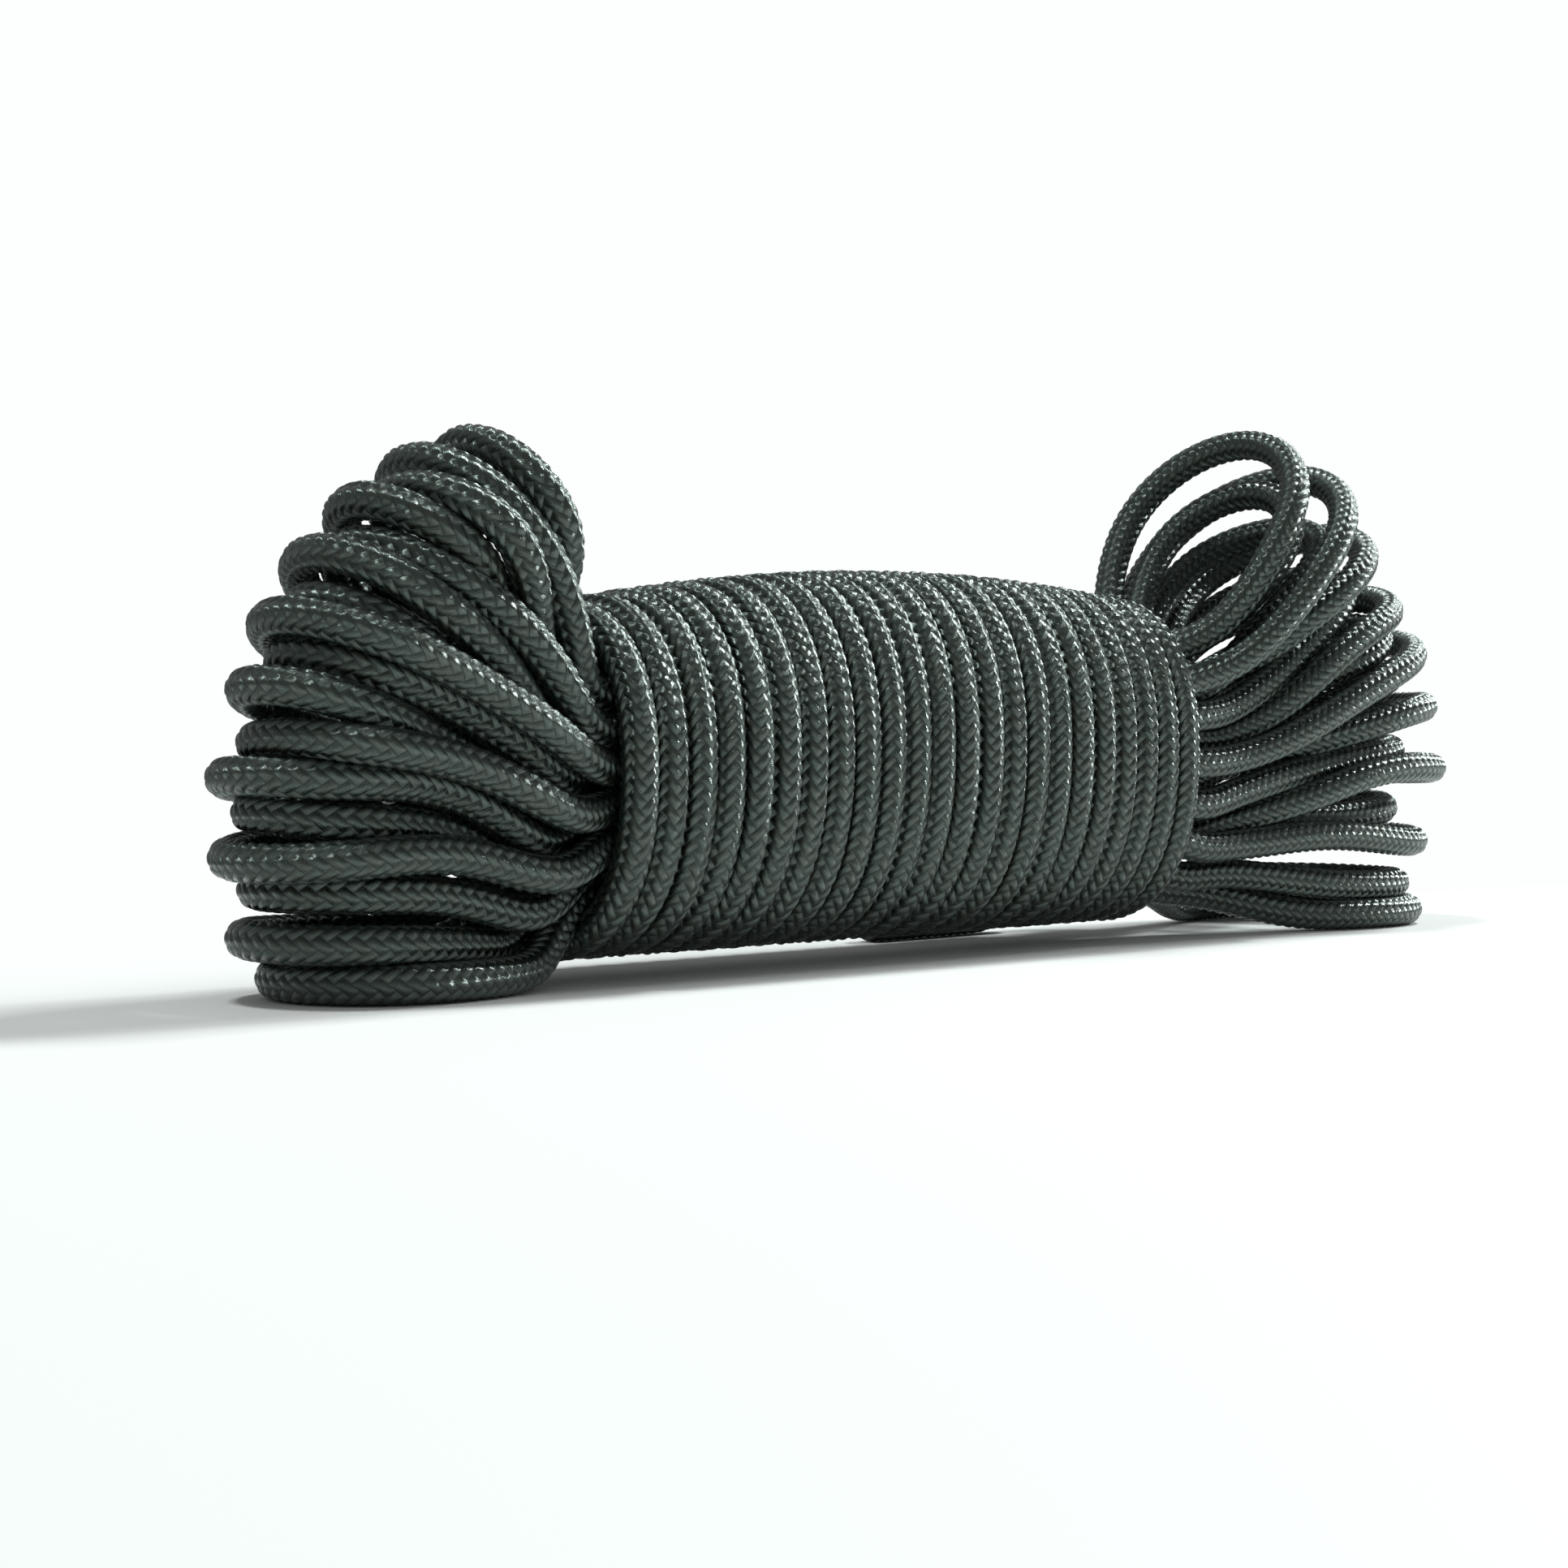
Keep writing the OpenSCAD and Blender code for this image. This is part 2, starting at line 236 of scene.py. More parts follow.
def hank_path(left, right, squeeze=1.0):
    """The loops from the first back run to the lead."""
    loops, out = loop_list(), []
    for i, (layer, row, back, front) in enumerate(loops):
        final = i == len(loops) - 1
        following = loops[i if final else i + 1]
        to_layer = layer if final else following[0]
        right_row, left_row = row + row_shift(layer), front + row_shift(layer)
        to_row = left_row if final else following[2] + row_shift(to_layer)
        to_slot = LEAD_FROM if final else slot(to_layer, following[2], -WAIST_END, 1, squeeze)
        out += [run(layer, back, row, 1, squeeze),
                bight(right, slot(layer, row, WAIST_END, 1, squeeze),
                      slot(layer, row, WAIST_END, -1, squeeze), right_row, right_row, layer, 1),
                run(layer, row, front, -1, squeeze),
                bight(left, slot(layer, front, -WAIST_END, -1, squeeze), to_slot,
                      left_row, to_row, max(layer, to_layer), -1, swells=not final)]
    return np.concatenate(out + [LEAD_FROM[None]])


WINDING_FROM = np.array([-WAIST_END, layer_y(OUTER) + CORNER_REACH,
                         waist_z(-WAIST_END) + LOOPS_IN[OUTER] / 2 * row_step(-WAIST_END)])
WINDING_TO = np.array([WAIST_END, layer_y(OUTER) + CORNER_REACH,
                       waist_z(WAIST_END) + LOOPS_IN[OUTER] / 2 * row_step(WAIST_END) - CORD_D])
LEAD_FROM = WINDING_FROM + np.array([-LEAD_RADIUS, 0, LEAD_RADIUS])
START_FROM = slot(0, loop_list()[0][2], -WAIST_END, 1)
START_STEPS = 0.001 * np.array([[0, 0, 0], [-6, 0, -1], [-12, -0.4, -3.2], [-19, -1, -5.6],
                                [-27, -1.8, -7.4]])
TAIL_STEPS = 0.001 * np.array([[0, 0, 0], [0, 0, -9], [0.4, 0.8, -20], [0.8, 1.8, -33],
                               [0.8, 2.6, -44.5], [-0.4, 2.8, -51], [-3.8, 2.8, -56.2],
                               [-9, 2.7, -59.7], [-15.2, 2.5, -61], [-29, 2, -61], [-42, 1.6, -61]])

# side, reach, rise, low angle, high angle, pivot height, tilt share, pulls on a leg's two ends
CAD_LEFT = CadFan(-1, 0.077, 0.077, -42, 71, 0.042, 0.8, (0.65, 0.2),
                  step=0.0054, bow=0.0117, bow_step=0.0002)
CAD_RIGHT = CadFan(1, 0.128, 0.106, -30, 62, 0.047, 0.65, (0.65, 0.2),
                   step=0.0005, bow=0.0117, bow_step=-0.0016)
LAID_LEFT = LaidFan(-1, 0.077, 0.076, -33, 74, 0.042, 0.8, (0.4, 0.4),
                    widths=(0.020, 0.0185), back=0.005, low_width=0.004,
                    puff=(0.008, 0.016, 0.016), wave=(0.0015, 0.08),
                    uneven=np.array([0.017, 0.001, 0.001, 0.05, 0.001]), seed=3)
LAID_RIGHT = LaidFan(1, 0.130, 0.100, -28, 69, 0.047, 0.8, (0.4, 0.45),
                     widths=(0.029, 0.024), back=0.010, low_width=0.0,
                     puff=(0.004, 0.010, 0.010), wave=(0.0030, 0.09),
                     uneven=np.array([0.026, 0.0025, 0.002, 0.07, 0.002]), seed=5)

# ---------------------------------------------------------------- the winding: turns of an oval
OVAL_DEPTH = 0.032              # half depth over the cord
OVAL_POWER = 2.3                # 2 is an ellipse, more is boxier
OVAL_START = math.radians(38)   # up from the back, where the first turn begins
PER_TURN = 48
ALIGHT = PER_TURN / 6           # rings over which the ends leave the oval for the lead and the tail
LAID_R = 0.00415                # from the cord's centreline to what it lies on or touches
LEAD_POINTS = 13


def oval(angle, depth, height):
    cos, sin = np.cos(angle), np.sin(angle)
    return (np.sign(cos) * np.abs(cos) ** (2 / OVAL_POWER) * depth,
            np.sign(sin) * np.abs(sin) ** (2 / OVAL_POWER) * height)


def winding_path():
    k = np.arange(WAIST_TURNS * PER_TURN + 1)
    x = -WAIST_END + TURN_PITCH * k / PER_TURN
    height = np.array([half_height(v) for v in x]) + CORD_D / 2 - LAID_R
    y, z = oval(OVAL_START - 2 * math.pi * k / PER_TURN, OVAL_DEPTH - LAID_R, height)
    p = np.stack([x, y, z + np.array([waist_z(v) for v in x])], axis=1)
    for index, end, distance in ((0, WINDING_FROM, k), (-1, WINDING_TO, k[-1] - k)):
        share = 0.5 + 0.5 * np.cos(math.pi * np.clip(distance / ALIGHT, 0, 1))
        p = p + share[:, None] * (end - p[index])
    return p


def lead_path():
    turn = np.linspace(math.pi / 2, 0, LEAD_POINTS)
    return WINDING_FROM + LEAD_RADIUS * np.stack([np.cos(turn) - 1, 0 * turn, np.sin(turn)], axis=1)


# ---------------------------------------------------------------- settling: strands pushed apart
SQUEEZE = 0.86                  # share of the layers' spread left under the tight winding
CONTACT_D = 0.00825             # least distance of two strands in the fans
TIGHT_D, EDGE_D = 0.0076, 0.0079        # the same deep under the winding and near its edges
EDGE_IN, EDGE_OUT = 0.008, 0.010        # how far that edge zone reaches in and out
CLAMP_OUT = 0.001               # how far past its edges the winding still holds the strands
PULL, PUSH, CROWD = 0.04, 0.9, 0.55     # shares: towards the goal, apart, and damping of crowded rings
NEIGHBOURS = 4                  # rings along the cord that never count as touching
NEAR = 0.013                    # rings further apart than this aren't looked at
STEPS, LAST_STEPS = 300, 100    # towards the goal, and after it is let go
INNER = 3                       # rounds of pushing in a step, twice as many in a last step
SMOOTH = 5                      # rounds of smoothing in a step
LAST_SMOOTH_EVERY = 3           # of the last steps, one in this many smooths
SEARCH_EVERY = 8                # steps between two searches for pairs
HOLD_HIGH, HOLD_DEEP = 0.0001, 0.0002   # off the height and onto the depth that the winding leaves them
SINK, SINK_HEIGHT = 0.00012, 0.025      # how far low strands sink in each last step, and how low they are


def near_pairs(x):
    """Pairs of rings closer than NEAR that aren't neighbours along the cord, found on a grid of cells."""
    n = len(x)
    cell = np.floor((x - x.min(0)) / NEAR).astype(np.int64) + 1
    dim = cell.max(0) + 2
    order = np.argsort((cell[:, 0] * dim[1] + cell[:, 1]) * dim[2] + cell[:, 2], kind="stable")
    keys = ((cell[:, 0] * dim[1] + cell[:, 1]) * dim[2] + cell[:, 2])[order]
    first, second = [], []
    for dx in (-1, 0, 1):
        for dy in (-1, 0, 1):
            for dz in (-1, 0, 1):
                key = ((cell[:, 0] + dx) * dim[1] + cell[:, 1] + dy) * dim[2] + cell[:, 2] + dz
                low, high = np.searchsorted(keys, key, "left"), np.searchsorted(keys, key, "right")
                count = high - low
                i = np.repeat(np.arange(n), count)
                j = order[np.repeat(low, count) + np.arange(count.sum())
                          - np.repeat(np.cumsum(count) - count, count)]
                keep = j > i + NEIGHBOURS
                first.append(i[keep])
                second.append(j[keep])
    i, j = np.concatenate(first), np.concatenate(second)
    close = np.linalg.norm(x[i] - x[j], axis=1) < NEAR
    return i[close], j[close]


def pushed_apart(x, i, j, width):
    """Rings i and j moved apart along the line between them, where they overlap."""
    away = x[i] - x[j]
    apart = np.linalg.norm(away, axis=1)
    overlap = np.minimum(width[i], width[j]) - apart
    hit = overlap > 0
    i, j = i[hit], j[hit]
    move = away[hit] * (overlap[hit] / 2 / np.maximum(apart[hit], TINY))[:, None]
    n = len(x)
    total = np.stack([np.bincount(i, move[:, k], n) - np.bincount(j, move[:, k], n) for k in range(3)],
                     axis=1)
    crowd = np.maximum(1, CROWD * (np.bincount(i, minlength=n) + np.bincount(j, minlength=n)))
    return x + PUSH * total / crowd[:, None]


def settled(start, goal, fixed):
    """The route start, drawn towards goal while its strands keep clear of each other and of fixed."""
    n = len(start)
    x, goal = np.concatenate([start, fixed]), np.concatenate([goal, fixed])
    width = np.full(len(x), CONTACT_D)
    past = np.abs(start[:, 0]) - WAIST_END
    width[:n] = np.where(past < -EDGE_IN, TIGHT_D, np.where(past < EDGE_OUT, EDGE_D, CONTACT_D))
    ends = start[[0, n - 1]]

    def held(x):
        """Strands stay inside the winding, above the surface, and joined at both ends."""
        k = np.nonzero(np.abs(x[:n, 0]) < WAIST_END + CLAMP_OUT)[0]
        along = np.clip(x[k, 0], -WAIST_END, WAIST_END)
        middle = waist_z(along)
        high = half_height(along) - 2 * LAID_R - HOLD_HIGH
        deep = OVAL_DEPTH - 3 * LAID_R + HOLD_DEEP
        out = (np.abs(x[k, 1] / deep) ** OVAL_POWER
               + np.abs((x[k, 2] - middle) / high) ** OVAL_POWER) ** (1 / OVAL_POWER)
        share = 1 / np.maximum(1, out)
        x[k, 1] *= share
        x[k, 2] = middle + (x[k, 2] - middle) * share
        x[:, 2] = np.maximum(x[:, 2], REST_Z)
        x[n:] = fixed
        x[[0, n - 1]] = ends
        return x

    for step in range(STEPS + LAST_STEPS):
        last = step >= STEPS
        if step % SEARCH_EVERY == 0:
            i, j = near_pairs(x)
        if last:
            x[:n, 2] -= SINK * np.exp(-x[:n, 2] / SINK_HEIGHT) * (np.abs(x[:n, 0]) > WAIST_END)
        else:
            x = x + PULL * (goal - x)
        for _ in range(2 * INNER if last else INNER):
            x = held(pushed_apart(x, i, j, width))
        off = x - goal
        for _ in range(int(step % LAST_SMOOTH_EVERY == 0) if last else SMOOTH):
            off[1:-1] += 0.5 * (0.5 * (off[:-2] + off[2:]) - off[1:-1])
        x = held(goal + off)
    return x[:n]


# ---------------------------------------------------------------- curves
def lengths(p):
    return np.concatenate([[0], np.cumsum(np.linalg.norm(np.diff(p, axis=0), axis=1))])


def spaced(p, step):
    """The polyline again, with points about step apart."""
    s = lengths(p)
    at = np.linspace(0, s[-1], max(2, int(math.ceil(s[-1] / step)) + 1))
    return np.stack([np.interp(at, s, p[:, k]) for k in range(3)], axis=1)


def smoothed(p, step, width):
    """The polyline with its corners rounded: a Gaussian of that width along it, ends kept."""
    q = spaced(p, step)
    n = int(math.ceil(3 * width / step))       # what lies further out hardly counts
    k = np.exp(-0.5 * (np.arange(-n, n + 1) * step / width) ** 2)
    k /= k.sum()
    head = 2 * q[0] - q[n:0:-1]
    foot = 2 * q[-1] - q[-2:-n - 2:-1]
    padded = np.concatenate([head, q, foot])
    return np.stack([np.convolve(padded[:, j], k, mode="valid") for j in range(3)], axis=1)


def frames(p):
    """Tangent and an untwisted normal at each point of a path."""
    t = np.gradient(p, axis=0)
    t /= np.linalg.norm(t, axis=1)[:, None]
    n = np.zeros_like(p)
    upright = abs(t[0, 2]) > 0.9
    v = np.array([0, 1.0, 0]) if upright else UP
    for i in range(len(p)):
        v = v - (v @ t[i]) * t[i]
        v = v / math.sqrt(v @ v)
        n[i] = v
    return t, n


# ---------------------------------------------------------------- the braid
CARRIERS = 8                      # yarns that turn each way
FLOAT = 2                         # yarns that each one passes over before it dives
PATTERN = 2 * FLOAT               # yarns after which the pattern comes again
OVER_TO = PATTERN / 2 - 0.5       # up to this step of the pattern, the yarns of the first way lie on top
CROWN_POWER, ARCH_POWER = 2.4, 2.6      # roundness of a float across and along
LAY = 0.0245                      # length of one turn of a yarn
SPLIT = 3                         # mesh cells across a yarn
ROUND = CARRIERS * SPLIT          # points of a ring
LAY_RINGS = 2 * CARRIERS * SPLIT  # rings in one lay
RING_STEP = LAY / LAY_RINGS
BASE_R = 0.00385
RELIEF = 0.00038
ON_EDGE = 1e-6                    # a point this close under a yarn's edge counts as past it
COARSE = 12                       # rings left out between two rings of a hidden stretch
HIDDEN_HIGH = 0.6                 # even height of the relief there
FRAME_STEP = 0.002                # spacing of the frames that the rings are turned by
BAKE_EDGE, BAKE_ROOM = 0.002, 0.06      # free shares past the ends and beside each strip of the bake layout
SEAM = 1.5 / ROUND                # how far past 1 a ring's last faces reach round it
CAP_SPOT, CAP_R = 0.0015, 0.001   # where the end caps lie in the bake layout, and how large


def relief(a, b):
    """Height of the braid, 0 in the grooves and 1 on the yarns, at its two helical coordinates."""
    i, j = np.floor(a + ON_EDGE), np.floor(b + ON_EDGE)
    fa, fb = a - i, b - j
    q = np.mod(i + j, PATTERN)
    over = q < OVER_TO
    across = np.where(over, fa, fb)
    along = np.where(over, (fb + q) / FLOAT, (fa + q - FLOAT) / FLOAT)
    crown = 1 - np.abs(2 * across - 1) ** CROWN_POWER
    arch = 1 - np.abs(2 * along - 1) ** ARCH_POWER
    return np.clip(crown, 0, 1) * np.clip(arch, 0, 1)


def linked(name, data):
    """A new object in the scene."""
    o = bpy.data.objects.new(name, data)
    bpy.context.scene.collection.objects.link(o)
    return o


def braided(name, path, phase=0.0, hidden=None, strips=1):
    """A cord's tube along a path, with the braid's relief as mesh. Rings lie on the braid's own lattice.

    phase is the turn of the braid at the start, in lays. hidden marks the rings that nothing shows, which
    are thinned out. The bake layout cuts the tube into strips. Returns the piece and its centreline.
    """
    s = lengths(path)
    total = s[-1]
    last = int(round(total / RING_STEP))
    ks = np.arange(last + 1)
    centre = np.stack([np.interp(ks * (total / last), s, path[:, k]) for k in range(3)], axis=1)
    coarse = np.zeros(last + 1, bool) if hidden is None else hidden(centre)
    keep = ~coarse | (ks % COARSE == 0)
    ks, centre, coarse = ks[keep], centre[keep], coarse[keep]
    where = ks * (total / last)
    ways, normals = frames(spaced(path, FRAME_STEP))
    at = np.linspace(0, total, len(ways))
    n = np.stack([np.interp(where, at, normals[:, k]) for k in range(3)], axis=1)
    t = np.stack([np.interp(where, at, ways[:, k]) for k in range(3)], axis=1)
    t /= np.linalg.norm(t, axis=1)[:, None]
    n -= (n * t).sum(1)[:, None] * t
    n /= np.linalg.norm(n, axis=1)[:, None]
    w = np.cross(t, n)

    odd = ks % 2                  # odd rings stand half a point further round
    v_turn = phase + ks / LAY_RINGS
    u = (2 * np.arange(ROUND)[None, :] + odd[:, None]) / (2 * ROUND)
    high = relief(CARRIERS * (u + v_turn[:, None]), CARRIERS * (u - v_turn[:, None]))
    r = BASE_R + RELIEF * np.where(coarse[:, None], HIDDEN_HIGH, high)
    angle = 2 * math.pi * u
    co = (centre[:, None, :] + (r * np.cos(angle))[:, :, None] * n[:, None, :]
          + (r * np.sin(angle))[:, :, None] * w[:, None, :]).reshape(-1, 3)

    corner_ring, corner_point, sizes = [], [], []
    p = np.arange(ROUND)[None, :]

    def add(*corners):
        """Faces all round some rings. Each corner is a column of rings and a row of points."""
        shape = (len(corners[0][0]), ROUND)
        corner_ring.append(np.stack([np.broadcast_to(c[0], shape) for c in corners], axis=-1).ravel())
        corner_point.append(np.stack([np.broadcast_to(c[1], shape) for c in corners], axis=-1).ravel())
        sizes.append(np.full(shape[0] * ROUND, len(corners)))

    step = np.diff(ks)
    fine = step == 1
    middles = np.nonzero(fine[:-1] & fine[1:])[0] + 1
    starts = np.nonzero(fine & np.concatenate([[True], ~fine[:-1]]))[0]
    ends = np.nonzero(fine & np.concatenate([~fine[1:], [True]]))[0] + 1
    for parity in (0, 1):         # diamonds inside each fine stretch
        k = middles[odd[middles] == parity][:, None]
        add((k - 1, p + parity), (k, p + 1), (k + 1, p + parity), (k, p))
    for parity in (0, 1):         # triangles along its two edges
        k = starts[odd[starts] == parity][:, None]
        add((k, p), (k, p + 1), (k + 1, p + parity))
        k = ends[odd[ends] == parity][:, None]
        add((k, p + 1), (k, p), (k - 1, p + parity))
    k = np.nonzero(~fine)[0][:, None]
    add((k, p), (k, p + 1), (k + 1, p + 1), (k + 1, p))
    ring, point, size = (np.concatenate(parts) for parts in (corner_ring, corner_point, sizes))

    face = np.repeat(np.arange(len(size)), size)
    along = where[ring] / total * strips
    mean_ring = np.bincount(face, weights=where[ring]) / size
    strip = np.minimum((mean_ring / total * strips).astype(int), strips - 1)[face]
    round_it = (2 * point + odd[ring]) / (2 * ROUND)
    bake_x = BAKE_EDGE + (1 - 2 * BAKE_EDGE) * np.clip(
        (along - strip + BAKE_EDGE) / (1 + 2 * BAKE_EDGE), 0, 1)
    bake_y = (strip + BAKE_ROOM + (1 - 2 * BAKE_ROOM) * round_it / (1 + SEAM)) / strips

    # a flat cap on each end, the first one facing back
    cap_point = np.concatenate([p[0, ::-1], p[0]])
    cap_ring = np.repeat([0, len(ks) - 1], ROUND)
    cap_angle = 2 * math.pi * cap_point / ROUND
    vert = np.concatenate([ring * ROUND + point % ROUND, cap_ring * ROUND + cap_point])
    size = np.concatenate([size, [ROUND, ROUND]])
    braid_uv = np.stack([np.concatenate([round_it, cap_point / ROUND]),
                         np.concatenate([v_turn[ring], v_turn[cap_ring]])], axis=1)
    bake_uv = np.stack([np.concatenate([bake_x, CAP_SPOT + CAP_R * np.cos(cap_angle)]),
                        np.concatenate([bake_y, CAP_SPOT + CAP_R * np.sin(cap_angle)])], axis=1)

    mesh = bpy.data.meshes.new(name)
    mesh.vertices.add(len(co))
    mesh.vertices.foreach_set("co", co.astype(np.float32).ravel())
    mesh.loops.add(len(vert))
    mesh.loops.foreach_set("vertex_index", vert.astype(np.int32))
    mesh.polygons.add(len(size))
    mesh.polygons.foreach_set("loop_start", (np.cumsum(size) - size).astype(np.int32))
    mesh.polygons.foreach_set("loop_total", size.astype(np.int32))
    mesh.polygons.foreach_set("use_smooth", np.ones(len(size), bool))
    for layer_name, uv in (("Braid", braid_uv), ("OFBake", bake_uv)):
        mesh.uv_layers.new(name=layer_name).data.foreach_set("uv", uv.astype(np.float32).ravel())
    mesh.update(calc_edges=True)
    mesh.validate()
    return linked(name, mesh), centre


# ---------------------------------------------------------------- materials
class Nodes:
    """Shorthand for building a material's node tree."""

    def __init__(self, name):
        self.mat = bpy.data.materials.new(name)
        self.mat.use_nodes = True
        self.tree = self.mat.node_tree
        self.tree.nodes.clear()
        self.bsdf = self.new("ShaderNodeBsdfPrincipled")
        self.link(self.bsdf.outputs[0], self.new("ShaderNodeOutputMaterial").inputs[0])

    def new(self, kind, **props):
        node = self.tree.nodes.new(kind)
        for key, value in props.items():
            setattr(node, key, value)
        return node

    def link(self, a, b):
        self.tree.links.new(a, b)

    def put(self, socket, value):
        if isinstance(value, bpy.types.NodeSocket):
            self.link(value, socket)
        else:
            socket.default_value = value

    def surface(self, **inputs):
        """Values or links for the surface's own sockets, with _ for a space in a name."""
        for key, value in inputs.items():
            self.put(self.bsdf.inputs[key.replace("_", " ")], value)

    def math(self, op, a, b=0.0, c=0.0, clamp=False):
        node = self.new("ShaderNodeMath", operation=op, use_clamp=clamp)
        for socket, value in zip(node.inputs, (a, b, c)):
            self.put(socket, value)
        return node.outputs[0]

    def mix(self, factor, a, b):
        node = self.new("ShaderNodeMix", data_type="FLOAT")
        for index, value in ((0, factor), (2, a), (3, b)):
            self.put(node.inputs[index], value)
        return node.outputs[0]

    def colour(self, factor, a, b):
        node = self.new("ShaderNodeMix", data_type="RGBA")
        for index, value in ((0, factor), (6, a), (7, b)):
            self.put(node.inputs[index], value)
        return node.outputs[2]

    def vector(self, x, y, z):
        node = self.new("ShaderNodeCombineXYZ")
        for socket, value in zip(node.inputs, (x, y, z)):
            self.put(socket, value)
        return node.outputs[0]

    def noise(self, vector, scale, detail, rough):
        node = self.new("ShaderNodeTexNoise", noise_dimensions="3D")
        self.link(vector, node.inputs["Vector"])
        node.inputs["Scale"].default_value = scale
        node.inputs["Detail"].default_value = detail
        node.inputs["Roughness"].default_value = rough
        return node.outputs["Fac"]

    def random(self, vector):
        node = self.new("ShaderNodeTexWhiteNoise", noise_dimensions="3D")
        self.link(vector, node.inputs["Vector"])
        return node.outputs["Value"]

    def bump(self, height, strength, distance):
        node = self.new("ShaderNodeBump")
        node.inputs["Strength"].default_value = strength
        node.inputs["Distance"].default_value = distance
        self.link(height, node.inputs["Height"])
        return node.outputs[0]


# The sheath's colours, and the filaments' bump in metres
SHEATH_DARK, SHEATH_LIGHT = (0.0015, 0.0035, 0.0028, 1), (0.006, 0.0120, 0.0095, 1)
SHEATH_WARM, WARM_FROM, WARM_SHARE = (0.012, 0.0085, 0.005, 1), 0.6, 0.7
# painted shade: the near-black colour put in the grooves between yarns, and the grooves' roughness
GAP_PAINTED_SHADE, GAP_ROUGH = (0.001, 0.001, 0.001, 1), 0.9
FILAMENT_BUMP = 0.00042
GRAIN_HIGH, FINE_HIGH = 0.26, 0.16      # coarse and fine streaks, as shares of a yarn's height
# Streaks: how many across and along a float, how far chance shifts them, the noise's detail and roughness
GRAIN_STREAKS, FINE_STREAKS = (13.0, 1.1, 91.0, 2.5, 0.6), (34.0, 1.6, 57.0, 1.0, 0.5)
STREAK_SPREAD = 0.35                    # how much they draw together at the ends of a float
ROUGH_LEAST, ROUGH_GRAIN, ROUGH_DICE = 0.135, 0.16, 0.08
SECOND_WAY_ID = 371.0                   # keeps the yarns of the two ways apart in the random numbers
SECOND_DICE_ID = 7.0


